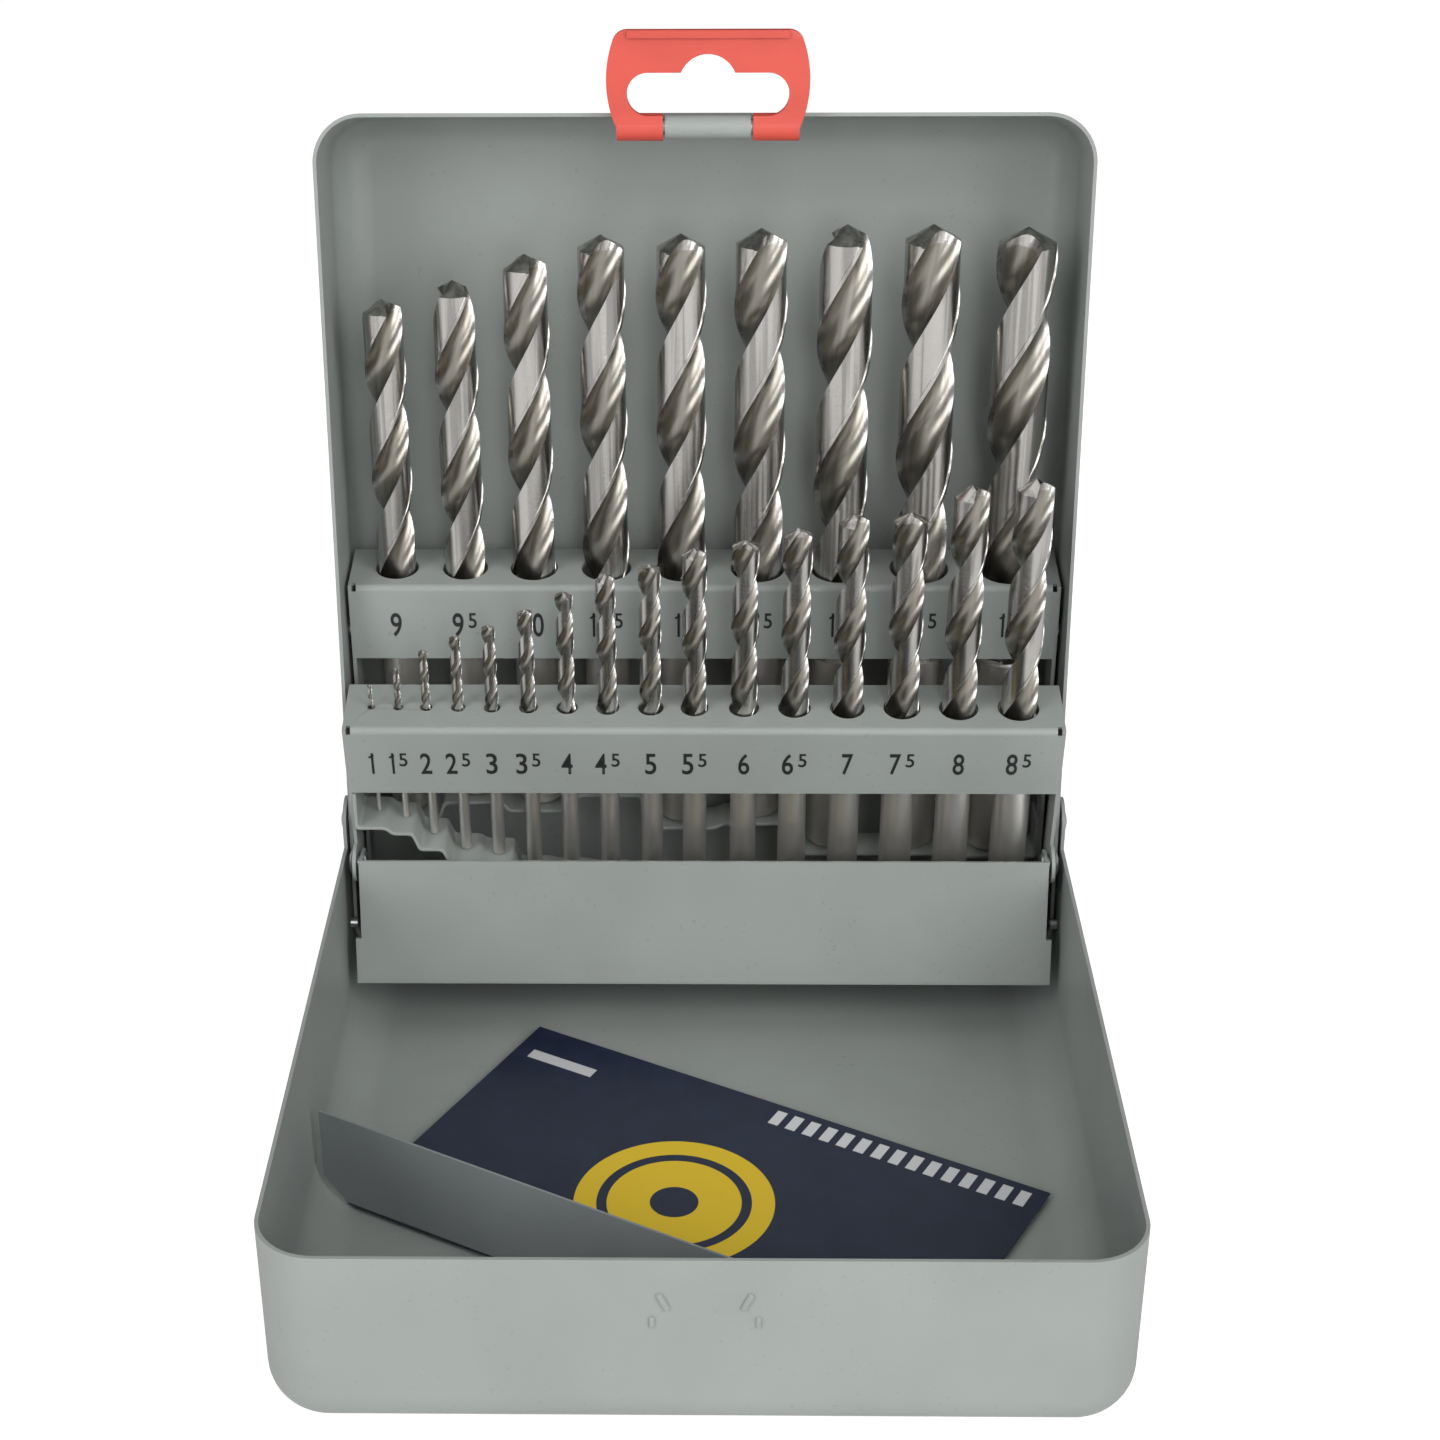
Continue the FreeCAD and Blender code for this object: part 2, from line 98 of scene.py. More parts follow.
# a drill's sweep, the pencil shape that it is cut to, its shank and its sharp edges
STEPS_A_TURN = 44
FEWEST_STEPS = 8
PENCIL_SIDES = 64
PENCIL_SHARE = 1.02
CHISEL_SHARE = 0.02
SHANK_SHARE = 0.985
FOOT_BEVEL_SHARE = 0.09
TOP_BEVEL_SHARE = 0.03
DRILL_SHARP_DEGREES = 30.0

# the card: the rounding of its edges, and how far it lies turned
CARD_ROUND = 0.00008
CARD_TURN = math.radians(-29.0)

# the card's print, measured from the card's middle; first the target's middle, disc, ring and dot
TARGET_X, TARGET_Y = -0.004, -0.004
DISC_RADIUS = 0.0215
RING_RADIUS, RING_HALF = 0.0155, 0.0011
DOT_RADIUS = 0.0052

# the row of squares: its two ends, its middle height and half its width, then the pitch and how
# much of it a square takes
ROW_START, ROW_END = 0.0, 0.062
ROW_Y, ROW_HALF = 0.0335, 0.0026
SQUARE_PITCH, SQUARE_SHARE = 0.0042, 0.58

# the hairline's end, height and half width, and the bar's middle and half sizes
HAIR_END, HAIR_Y, HAIR_HALF = -0.060, -0.0335, 0.00025
BAR_X, BAR_Y = -0.052, 0.028
BAR_HALF_LONG, BAR_HALF_WIDE = 0.0085, 0.0016

# the floor sheet, a hair under the case, which stands on z 0
FLOOR_SIZE = 6.0
FLOOR_PLACE = (0.0, 1.0, -0.0001)

# the two rows of drills, in mm: diameter, total length, flute length, place along the rack, depth
# below its holes, and how far under the point a land's leading edge faces the front
FRONT_ROW = [
    (1.0, 34.0, 12.0, -74.7, 28.0, 2.0), (1.5, 40.0, 18.0, -68.6, 29.6, 3.0),
    (2.0, 49.0, 24.0, -62.3, 34.0, 4.5), (2.5, 57.0, 30.0, -55.1, 38.3, 6.0),
    (3.0, 61.0, 33.0, -47.5, 39.6, 7.0), (3.5, 70.0, 39.0, -39.3, 44.6, 9.5),
    (4.0, 75.0, 43.0, -30.6, 45.2, 8.0), (4.5, 80.0, 47.0, -21.5, 45.8, 13.8),
    (5.0, 86.0, 52.0, -11.8, 49.3, 11.4), (5.5, 93.0, 57.0, -2.0, 52.4, 16.8),
    (6.0, 93.0, 57.0, 9.1, 50.4, 13.4), (6.5, 101.0, 63.0, 20.4, 55.4, 17.6),
    (7.0, 109.0, 69.0, 32.3, 60.0, 21.9), (7.5, 109.0, 69.0, 44.5, 59.7, 17.8),
    (8.0, 117.0, 75.0, 57.2, 61.2, 25.0), (8.5, 117.0, 75.0, 70.6, 59.6, 26.1),
]
BACK_ROW = [
    (9.0, 125.0, 81.0, -70.0, 61.4, 30.7), (9.5, 125.0, 81.0, -54.4, 57.2, 37.0),
    (10.0, 133.0, 87.0, -38.7, 59.4, 33.7), (10.5, 133.0, 87.0, -22.2, 55.2, 28.9),
    (11.0, 142.0, 94.0, -5.0, 64.0, 29.9), (11.5, 142.0, 94.0, 12.3, 62.8, 34.3),
    (12.0, 151.0, 101.0, 30.6, 71.0, 43.5), (12.5, 151.0, 101.0, 49.0, 71.0, 35.0),
    (13.0, 151.0, 101.0, 69.2, 71.6, 25.5),
]

# the studio's lamps: name, place, aim, width and height in metres, power in watts
LAMPS = [
    ("left softbox", (-1.10, -1.10, 0.85), (0, 0, 0.10), 0.7, 1.3, 11.5),
    ("right softbox", (1.10, -1.10, 0.85), (0, 0, 0.10), 0.8, 1.3, 13.0),
    ("front lamp", (0.25, -1.50, 0.90), (0, 0, 0.15), 0.30, 1.3, 7.0),
    ("top lamp", (0.0, 0.0, 1.50), (0, 0, 0.05), 1.4, 1.2, 4.0),
]


# sizes and colours that a user may change

class CaseLook(bpy.types.PropertyGroup):
    """The painted sheet, the bright fasteners and the hanger"""
    paint: FloatVectorProperty(
        name="Paint", description="Colour of the painted sheet", subtype="COLOR", size=3,
        min=0, max=1, default=(0.300, 0.325, 0.310))
    paint_roughness: FloatProperty(
        name="Paint roughness", description="Gloss of the paint, low is glossy", subtype="FACTOR",
        min=0, max=1, default=0.42)
    edge_round: FloatProperty(
        name="Edge rounding", description="Rounding of the cut sheet edges", subtype="DISTANCE",
        min=0, default=0.00016)
    rivet: FloatVectorProperty(
        name="Rivets", description="Colour of the bright rivets and pins", subtype="COLOR", size=3,
        min=0, max=1, default=(0.56, 0.57, 0.57))
    bend_round: FloatProperty(
        name="Bend rounding", description="Rounding of the bends in the rest strips",
        subtype="DISTANCE", min=0, default=0.0012)
    hanger: FloatVectorProperty(
        name="Hanger", description="Colour of the moulded hanger", subtype="COLOR", size=3,
        min=0, max=1, default=(0.63, 0.080, 0.056))
    hanger_round: FloatProperty(
        name="Hanger rounding", description="Rounding of the hanger's edges", subtype="DISTANCE",
        min=0, default=0.0004)


class RackLook(bpy.types.PropertyGroup):
    """The printed sizes, and how the racks stand"""
    ink: FloatVectorProperty(
        name="Ink", description="Colour of the printed sizes", subtype="COLOR", size=3,
        min=0, max=1, default=(0.012, 0.013, 0.014))
    digit_height: FloatProperty(
        name="Digit height", description="Height of a printed digit", subtype="DISTANCE",
        min=0, default=0.0060)
    digit_width: FloatProperty(
        name="Digit width", description="Width of a digit as a share of its height",
        subtype="FACTOR", min=0.2, max=1.5, default=0.42)
    digit_gap: FloatProperty(
        name="Digit gap", description="Gap between digits", subtype="DISTANCE",
        min=0, default=0.0008)
    half_share: FloatProperty(
        name="Small digit", description="Height of the raised 5 as a share of a digit",
        subtype="FACTOR", min=0.2, max=1, default=0.64)
    drop: FloatProperty(
        name="Drop", description="Middle of the digits below the fold", subtype="DISTANCE",
        min=0, default=0.0096)
    front_tilt: FloatProperty(
        name="Front rack tilt", description="Lean of the front rack", subtype="ANGLE",
        default=math.radians(11.0))
    back_tilt: FloatProperty(
        name="Back rack tilt", description="Lean of the back rack", subtype="ANGLE",
        default=math.radians(7.0))
    back_fold_open: FloatProperty(
        name="Back fold open", description="How far the back rack's fold is opened",
        subtype="ANGLE", default=math.radians(5.5))
    front_fold: FloatVectorProperty(
        name="Front fold", description="Middle of the front rack's fold", subtype="XYZ", size=3,
        default=(0, 0.0439, 0.0791))
    back_fold: FloatVectorProperty(
        name="Back fold", description="Middle of the back rack's fold", subtype="XYZ", size=3,
        default=(0, 0.0679, 0.1031))
    hole_back: FloatProperty(
        name="Hole line", description="Holes behind the fold", subtype="DISTANCE", default=0.0083)


class DrillLook(bpy.types.PropertyGroup):
    """The drills' steel, section, helix and point"""
    steel: FloatVectorProperty(
        name="Steel", description="Colour of the ground steel", subtype="COLOR", size=3,
        min=0, max=1, default=(0.60, 0.58, 0.55))
    groove: FloatVectorProperty(
        name="Flute steel", description="Colour down in the flutes", subtype="COLOR", size=3,
        min=0, max=1, default=(0.32, 0.298, 0.255))
    sides: IntProperty(
        name="Sides", description="Points round a drill", min=24, max=96, default=48)
    web: FloatProperty(
        name="Web", description="Core thickness as a share of the diameter", subtype="FACTOR",
        min=0.1, max=0.8, default=0.30)
    land: FloatProperty(
        name="Land", description="Half the angle that a land takes up", subtype="ANGLE",
        default=math.radians(42.0))
    margin: FloatProperty(
        name="Margin", description="Angle that the raised margin takes up", subtype="ANGLE",
        default=math.radians(8.0))
    clearance: FloatProperty(
        name="Clearance", description="Radius behind the margin, as a share", subtype="FACTOR",
        min=0.8, max=1, default=0.955)
    helix: FloatProperty(
        name="Helix", description="Helix angle of the flutes", subtype="ANGLE",
        default=math.radians(29.0))
    point: FloatProperty(
        name="Point", description="Angle of the drill's point", subtype="ANGLE",
        default=math.radians(118.0))
    front_lean: FloatProperty(
        name="Front lean", description="Lean of the front drills", subtype="ANGLE",
        default=math.radians(5.0))


class CardLook(bpy.types.PropertyGroup):
    """The colours of the card and its flap"""
    ground: FloatVectorProperty(
        name="Ground", description="Colour of the card", subtype="COLOR", size=3,
        min=0, max=1, default=(0.012, 0.018, 0.040))
    accent: FloatVectorProperty(
        name="Accent", description="Colour of the printed shapes", subtype="COLOR", size=3,
        min=0, max=1, default=(0.72, 0.50, 0.02))
    flap: FloatVectorProperty(
        name="Flap", description="Colour of the flap's face", subtype="COLOR", size=3,
        min=0, max=1, default=(0.23, 0.25, 0.255))


class StageLook(bpy.types.PropertyGroup):
    """The floor, the light and the camera"""
    floor: FloatVectorProperty(
        name="Floor", description="Colour of the floor", subtype="COLOR", size=3,
        min=0, max=1, default=(0.90, 0.90, 0.90))
    lift: FloatVectorProperty(
        name="Floor lift", description="Light added to the floor as the camera sees it",
        subtype="COLOR", size=3, min=0, max=1, default=(0.62, 0.62, 0.62))
    sky: FloatProperty(name="Sky", description="Even part of the sky's light", default=0.08)
    lamps: FloatProperty(name="Lamps", description="Share of the lamps' power", default=1.0)
    lens: FloatProperty(name="Lens", description="Focal length in mm", default=65.48)
    pitch: FloatProperty(
        name="Pitch", description="How far the camera looks down", subtype="ANGLE",
        default=math.radians(29.18))
    yaw: FloatProperty(
        name="Yaw", description="How far the camera turns", subtype="ANGLE",
        default=math.radians(-0.99))
    roll: FloatProperty(
        name="Roll", description="How far the camera rolls", subtype="ANGLE",
        default=math.radians(0.36))
    place: FloatVectorProperty(
        name="Place", description="Where the camera stands", subtype="XYZ", size=3,
        default=(0.0013, -0.4715, 0.3491))
    shift: FloatVectorProperty(
        name="Shift", description="Framing of the photograph", size=2, default=(0.0351, 0.0561))


# modelling helpers

def begin():
    """Object mode with nothing selected."""
    if bpy.context.mode != "OBJECT":
        bpy.ops.object.mode_set(mode="OBJECT")
    bpy.ops.object.select_all(action="DESELECT")


def active(obj):
    """Select one piece alone and make it the active one."""
    begin()
    obj.select_set(True)
    bpy.context.view_layer.objects.active = obj
    return obj


def edit(obj):
    """Edit mode on one piece."""
    active(obj)
    bpy.ops.object.mode_set(mode="EDIT")
    bpy.ops.mesh.select_mode(type="VERT")


def pick(obj, kind, test):
    """Select the verts, edges or faces of the edit mesh that pass the test."""
    bpy.ops.mesh.select_mode(type={"verts": "VERT", "edges": "EDGE", "faces": "FACE"}[kind])
    bm = bmesh.from_edit_mesh(obj.data)
    for group in (bm.faces, bm.edges, bm.verts):
        for part in group:
            part.select = False
    for part in getattr(bm, kind):
        if test(part):
            part.select_set(True)
    bm.select_flush_mode()
    bmesh.update_edit_mesh(obj.data)


def apply(obj, kind, **settings):
    """Add a modifier with these settings and apply it."""
    active(obj)
    mod = obj.modifiers.new(kind.lower(), kind)
    for key, value in settings.items():
        setattr(mod, key, value)
    bpy.ops.object.modifier_apply(modifier=mod.name)


def combine(obj, tool, operation):
    """Boolean with another mesh, which is used up."""
    apply(obj, "BOOLEAN", object=tool, operation=operation, solver="EXACT")
    bpy.data.objects.remove(tool)


def join(obj, *others):
    """Make one mesh of these, the first one's name kept."""
    begin()
    for part in (obj,) + others:
        part.select_set(True)
    bpy.context.view_layer.objects.active = obj
    bpy.ops.object.join()
    return obj


def put(obj, matrix):
    """Move a piece to its place, with the place in its mesh."""
    active(obj)
    obj.matrix_world = matrix @ obj.matrix_world
    bpy.ops.object.transform_apply(location=True, rotation=True, scale=True)


def smooth(obj, degrees=32.0):
    """Shade smooth, with edges over this angle kept sharp."""
    active(obj)
    bpy.ops.object.shade_smooth_by_angle(angle=math.radians(degrees))


def dress(obj, material):
    """One finish for the whole piece."""
    obj.data.materials.clear()
    obj.data.materials.append(material)
    for face in obj.data.polygons:
        face.material_index = 0


def is_bend(edge):
    """An edge of a rest strip where the sheet is bent, not cut."""
    along = edge.verts[1].co - edge.verts[0].co
    return (len(edge.link_faces) == 2 and abs(along.y) > ACROSS_SHARE * along.length
            and min(face.calc_area() for face in edge.link_faces) > CUT_END_AREA
            and edge.calc_face_angle() > BEND_ANGLE)


def softened(node, name, width, segments=2, bend=0.0):
    """A copy of a CAD node with its facets merged, its bends rounded and its edges softened."""
    begin()
    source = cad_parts[node]
    obj = bpy.data.objects.new(name, source.data.copy())
    bpy.context.scene.collection.objects.link(obj)
    obj.data.materials.clear()
    edit(obj)
    bpy.ops.mesh.select_all(action="SELECT")
    bpy.ops.mesh.remove_doubles(threshold=MERGE)
    bpy.ops.mesh.dissolve_limited(angle_limit=FLAT)
    if bend:
        pick(obj, "edges", is_bend)
        bpy.ops.mesh.bevel(offset=bend, segments=BEND_SEGMENTS, affect="EDGES",
                           clamp_overlap=True)
    bpy.ops.object.mode_set(mode="OBJECT")
    if obj.data.has_custom_normals:
        bpy.ops.mesh.customdata_custom_splitnormals_clear()
    apply(obj, "BEVEL", width=width, segments=segments, limit_method="ANGLE",
          angle_limit=ROUNDED_ABOVE, use_clamp_overlap=True, miter_outer="MITER_ARC")
    apply(obj, "TRIANGULATE", min_vertices=5)
    smooth(obj)
    apply(obj, "WEIGHTED_NORMAL", keep_sharp=True)
    return obj


# shader helpers

class Sock:
    """A shader socket that can be added, scaled and compared like a number."""

    def __init__(self, graph, socket):
        self.graph, self.socket = graph, socket

    def math(self, operation, *others):
        """A Math node on this value and the others."""
        values = [self] + list(others)
        return self.graph.node("ShaderNodeMath", {"operation": operation},
                               {i: v for i, v in enumerate(values)}).out(0)

    def __add__(self, other):
        return self.math("ADD", other)

    def __radd__(self, other):
        return self.math("ADD", other)

    def __sub__(self, other):
        return self.math("SUBTRACT", other)

    def __rsub__(self, other):
        return self.graph.node("ShaderNodeMath", {"operation": "SUBTRACT"},
                               {0: other, 1: self}).out(0)

    def __mul__(self, other):
        return self.math("MULTIPLY", other)

    def __rmul__(self, other):
        return self.math("MULTIPLY", other)

    def __truediv__(self, other):
        return self.math("DIVIDE", other)

    def __gt__(self, other):
        return self.math("GREATER_THAN", other)

    def __lt__(self, other):
        return self.math("LESS_THAN", other)

    def abs(self):
        return self.math("ABSOLUTE")

    def clamp(self):
        return self.graph.node("ShaderNodeClamp", {}, {"Value": self}).out(0)

    def smoothstep(self, low, high):
        return self.graph.node("ShaderNodeMapRange", {"interpolation_type": "SMOOTHSTEP"},
                               {"Value": self, "From Min": low, "From Max": high}).out(0)


class Graph:
    """Builds the nodes of one material, or of the world."""

    def __init__(self, name, owner=None):
        self.material = owner or bpy.data.materials.new(name)
        self.material.use_nodes = True
        self.tree = self.material.node_tree
        self.tree.nodes.clear()

    def node(self, kind, settings=None, values=None):
        """A node with its settings, then the values or links of its sockets."""
        made = self.tree.nodes.new(kind)
        for key, value in (settings or {}).items():
            setattr(made, key, value)
        for key, value in (values or {}).items():
            if isinstance(value, Sock):
                self.tree.links.new(value.socket, made.inputs[key])
            else:
                made.inputs[key].default_value = value
        return Made(self, made)

    def place(self, turn=(0, 0, 0), shift=(0, 0, 0), stretch=(1, 1, 1)):
        """The point on the piece, moved, turned and stretched."""
        point = self.node("ShaderNodeTexCoord").out("Object")
        if turn != (0, 0, 0) or shift != (0, 0, 0):
            point = self.node("ShaderNodeMapping", {"vector_type": "TEXTURE"},
                              {"Vector": point, "Location": shift, "Rotation": turn}).out(0)
        return self.node("ShaderNodeMapping", {"vector_type": "POINT"},
                         {"Vector": point, "Scale": stretch}).out(0)

    def noise(self, point, scale=1.0, detail=3.0, roughness=0.5):
        """Cloudy noise, 0 to 1."""
        return self.node("ShaderNodeTexNoise", {"noise_dimensions": "3D"},
                         {"Vector": point, "Scale": scale, "Detail": detail,
                          "Roughness": roughness}).out(0)

    def mix(self, factor, first, second):
        """Colours mixed by a factor. Sockets 6, 7 and output 2 are the node's colour ones."""
        values = {0: factor, 6: opaque(first), 7: opaque(second)}
        return self.node("ShaderNodeMix", {"data_type": "RGBA"}, values).out(2)

    def split(self, point):
        """The three coordinates of a point."""
        made = self.node("ShaderNodeSeparateXYZ", {}, {0: point})
        return made.out(0), made.out(1), made.out(2)

    def attribute(self, name, output="Fac"):
        """A value kept on the piece's points."""
        return self.node("ShaderNodeAttribute", {"attribute_name": name}).out(output)

    def bump(self, height, strength, distance):
        """A surface normal that shows a height."""
        return self.node("ShaderNodeBump", {}, {"Height": height, "Strength": strength,
                                                "Distance": distance}).out(0)

    def finish(self, **values):
        """The Principled surface; names with _ stand for the socket's words."""
        named = {key.replace("_", " ").title(): value for key, value in values.items()}
        surface = self.node("ShaderNodeBsdfPrincipled", {}, named)
        self.node("ShaderNodeOutputMaterial", {}, {"Surface": surface.out(0)})
        return self.material


class Made:
    """A node just made, whose outputs are taken by name or place."""

    def __init__(self, graph, node):
        self.graph, self.made = graph, node

    def out(self, key):
        return Sock(self.graph, self.made.outputs[key])


def opaque(colour):
    """A colour's three values with full alpha, or the socket that it comes from."""
    return colour if isinstance(colour, Sock) else tuple(colour) + (1,)


def scaled(colour, share):
    """A colour made lighter or darker."""
    return tuple(min(1.0, c * share) for c in colour)


def painted_sheet(name, colour, roughness):
    """Satin paint on pressed steel: fine orange peel, faint cloudiness, a few dust specks."""
    g = Graph(name)
    cloud = g.noise(g.place(), scale=22.0, detail=3.0, roughness=0.55)
    peel = g.noise(g.place(), scale=1500.0, detail=2.0, roughness=0.5)
    dust = g.noise(g.place(), scale=900.0, detail=1.0, roughness=0.4) > 0.715
    patches = g.noise(g.place(), scale=60.0, detail=2.0) > 0.5
    rub = g.noise(g.place(stretch=(1.0, 1.0, 0.12)), scale=420.0, detail=3.0, roughness=0.6)
    tone = g.mix(cloud.smoothstep(0.3, 0.7), scaled(colour, 0.95), scaled(colour, 1.05))
    tone = g.mix(dust * patches * 0.25, tone, scaled(colour, 0.6))
    rough = roughness + (cloud - 0.5) * 0.10 + (rub - 0.5) * 0.06
    return g.finish(base_color=tone, roughness=rough.clamp(),
                    normal=g.bump(peel, strength=0.10, distance=0.00005))


def bright_steel(name, colour):
    """Turned and barrelled bright steel."""
    g = Graph(name)
    grain = g.noise(g.place(stretch=(1.0, 0.2, 1.0)), scale=2600.0, detail=3.0, roughness=0.6)
    spot = g.noise(g.place(), scale=500.0, detail=3.0, roughness=0.6)
    tone = g.mix(spot.smoothstep(0.35, 0.75), scaled(colour, 0.82), scaled(colour, 1.08))
    return g.finish(base_color=tone, metallic=1.0, roughness=(0.26 + grain * 0.2).clamp(),
                    normal=g.bump(grain, strength=0.12, distance=0.00003))


def moulded_red(name, colour):
    """Moulded polypropylene: soft gloss, fine grain, slight flow clouds."""
    g = Graph(name)
    flow = g.noise(g.place(stretch=(0.5, 1.0, 1.0)), scale=130.0, detail=3.0, roughness=0.5)
    grain = g.noise(g.place(), scale=3800.0, detail=2.0, roughness=0.5)
    tone = g.mix(flow.smoothstep(0.3, 0.7), scaled(colour, 0.93), scaled(colour, 1.04))
    return g.finish(base_color=tone, roughness=(0.34 + grain * 0.12).clamp(),
                    normal=g.bump(grain, strength=0.08, distance=0.00004))


def printed_ink(name, colour):
    """Screen-printed ink with a faint grain."""
    g = Graph(name)
    grain = g.noise(g.place(), scale=5200.0, detail=2.0, roughness=0.6)
    tone = g.mix(grain.smoothstep(0.55, 0.8) * 0.5, colour, scaled(colour, 6.0))
    return g.finish(base_color=tone, roughness=(0.5 + grain * 0.15).clamp())


def ground_drill_steel(name, look):
    """Ground high-speed steel: bright lands, browner polished flutes, fine grinding lines, with dark
    vertical stripes painted on as reflections and the shank painted lighter as sheen.
    """
    g = Graph(name)
    groove = g.attribute("groove")
    along = g.attribute("untwisted", "Vector")
    lines = g.node("ShaderNodeMapping", {"vector_type": "POINT"},
                   {"Vector": along, "Scale": (1.0, 1.0, 0.03)}).out(0)
    streak = g.noise(lines, scale=4200.0, detail=3.0, roughness=0.6)
    broad = g.noise(lines, scale=700.0, detail=2.0, roughness=0.5)
    rings = g.noise(g.place(stretch=(0.06, 0.06, 1.0)), scale=7000.0, detail=2.0, roughness=0.6)
    down = groove.smoothstep(0.07, 0.30)
    tone = g.mix(down, look.steel, look.groove)
    tone = g.mix(broad.smoothstep(0.35, 0.75) * 0.35, tone, scaled(look.steel, 1.08))
    # dark vertical stripes painted into the steel's colour, strongest on the lands: a painted
    # reflection of dark surroundings, not marks in the steel
    painted_reflection_stripes = g.noise(g.place(stretch=(1.0, 1.0, 0.02)), scale=520.0, detail=3.0, roughness=0.6)
    tone = g.mix(painted_reflection_stripes.smoothstep(0.44, 0.60) * (0.62 - down * 0.42), tone, scaled(look.steel, 0.42))
    tone = g.mix(streak.smoothstep(0.5, 0.8) * down * 0.18, tone, scaled(look.groove, 0.75))
    shank = groove < -0.5
    # the shank's colour is painted 1.4 times lighter: a painted sheen for light that its dim place
    # behind the apron does not give it
    tone = g.mix(shank, tone, scaled(look.steel, 1.4))
    rough = 0.19 + down * 0.07 + rings * 0.08 + shank * 0.16
    height = streak * down * 0.08 + rings * (1.0 - down * 0.75 + shank * 1.2)
    return g.finish(base_color=tone, metallic=1.0, roughness=rough.clamp(),
                    normal=g.bump(height, strength=0.5, distance=0.00005))


def printed_card(name, look, turn, centre):
    """Dark card with a generic print: a ring target, a row of squares, a hairline and a bar."""
    g = Graph(name)
    x, y, _ = g.split(g.place(turn=(0, 0, turn), shift=centre))
    dx, dy = x - TARGET_X, y - TARGET_Y
    far = (dx * dx + dy * dy).math("SQRT")
    disc = far < DISC_RADIUS
    ring = ((far - RING_RADIUS).abs() < RING_HALF) + (far < DOT_RADIUS)
    band = ((y - ROW_Y).abs() < ROW_HALF) * (x > ROW_START) * (x < ROW_END)
    beat = (x / SQUARE_PITCH).math("FRACT") < SQUARE_SHARE
    hair = ((y - HAIR_Y).abs() < HAIR_HALF) * (x > HAIR_END)
    bar = ((x - BAR_X).abs() < BAR_HALF_LONG) * ((y - BAR_Y).abs() < BAR_HALF_WIDE)
    fibre = g.noise(g.place(), scale=2400.0, detail=3.0, roughness=0.6)
    wear = g.noise(g.place(), scale=160.0, detail=4.0, roughness=0.65)
    tone = g.mix(wear.smoothstep(0.35, 0.8) * 0.5, look.ground, scaled(look.ground, 1.9))
    tone = g.mix(disc, tone, look.accent)
    tone = g.mix((ring * disc).clamp(), tone, scaled(look.ground, 1.2))
    tone = g.mix(((band * beat) + hair + bar * 0.85).clamp(), tone, (0.62, 0.63, 0.64))
    tone = g.mix(fibre.smoothstep(0.6, 0.9) * 0.12, tone, (0.5, 0.5, 0.5))
    return g.finish(base_color=tone, roughness=(0.30 + wear * 0.18).clamp(),
                    normal=g.bump(fibre, strength=0.06, distance=0.00003))


def plain_card(name, colour):
    """Plain coated card: faint clouds and fibres."""
    g = Graph(name)
    fibre = g.noise(g.place(), scale=2600.0, detail=3.0, roughness=0.6)
    cloud = g.noise(g.place(), scale=40.0, detail=3.0, roughness=0.5)
    tone = g.mix(cloud.smoothstep(0.3, 0.7), scaled(colour, 0.94), scaled(colour, 1.05))
    tone = g.mix(fibre.smoothstep(0.55, 0.85) * 0.15, tone, scaled(colour, 1.3))
    return g.finish(base_color=tone, roughness=(0.48 + fibre * 0.12).clamp(),
                    normal=g.bump(fibre, strength=0.06, distance=0.00003))


# the pieces

def ride_as(obj, node, body, material):
    """A finished piece: its finish, the CAD node it stands for and the body it moves with."""
    dress(obj, material)
    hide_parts(node)
    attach(obj, body)


class CASE_OT_shells(bpy.types.Operator):
    """The two pressed shells and the tray, with rounded sheet edges"""
    bl_idname = "drill_case.shells"
    bl_label = "Shells and tray"

    def execute(self, context):
        look = context.scene.case_look
        paint = painted_sheet("case paint", look.paint, look.paint_roughness)
        for node, body in (("front_shell", "front_shell"), ("back_shell", "back_shell"),
                           ("tray", "back_shell")):
            obj = softened(node, node + "_skin", look.edge_round)
            ride_as(obj, node, body, paint)
        return {"FINISHED"}


class CASE_OT_fasteners(bpy.types.Operator):
    """Hinge rivets, tray rivets, rack rivets, stop pins and the hanger's pin"""
    bl_idname = "drill_case.fasteners"
    bl_label = "Rivets and pins"

    def execute(self, context):
        look = context.scene.case_look
        steel = bright_steel("bright steel", look.rivet)
        rows = [("hinge_rivet", "front_shell"), ("stop_pin", "front_shell"),
                ("tray_rivet", "back_shell"), ("rack_rivet", "back_shell")]
        for kind, body in rows:
            for side in ("left", "right"):
                node = kind + "_" + side
                obj = softened(node, node + "_head", look.edge_round * 0.8)
                ride_as(obj, node, body, steel)
        obj = softened("hanger_pin", "hanger_axle", look.edge_round)
        ride_as(obj, "hanger_pin", "back_shell", steel)
        return {"FINISHED"}


class CASE_OT_hanger(bpy.types.Operator):
    """The moulded red hanger with its rounded edges"""
    bl_idname = "drill_case.hanger"
    bl_label = "Hanger"

    def execute(self, context):
        look = context.scene.case_look
        obj = softened("hanger", "hanger_loop", look.hanger_round, 3)
        ride_as(obj, "hanger", "hanger", moulded_red("moulded red", look.hanger))
        return {"FINISHED"}


class CASE_OT_racks(bpy.types.Operator):
    """Both folded racks and the strips that the drills stand on"""
    bl_idname = "drill_case.racks"
    bl_label = "Racks and rests"

    def execute(self, context):
        look = context.scene.case_look
        paint = bpy.data.materials["case paint"]
        rest = painted_sheet("rest paint", scaled(look.paint, 1.06), look.paint_roughness + 0.06)
        for node, body in (("front_rack", "front_rack"), ("back_rack", "back_shell")):
            obj = softened(node, node + "_sheet", look.edge_round)
            ride_as(obj, node, body, paint)
        for node, body in (("front_rests", "front_rack"), ("back_rests", "back_shell")):
            obj = softened(node, node + "_strip", look.edge_round, bend=look.bend_round)
            ride_as(obj, node, body, rest)
        return {"FINISHED"}


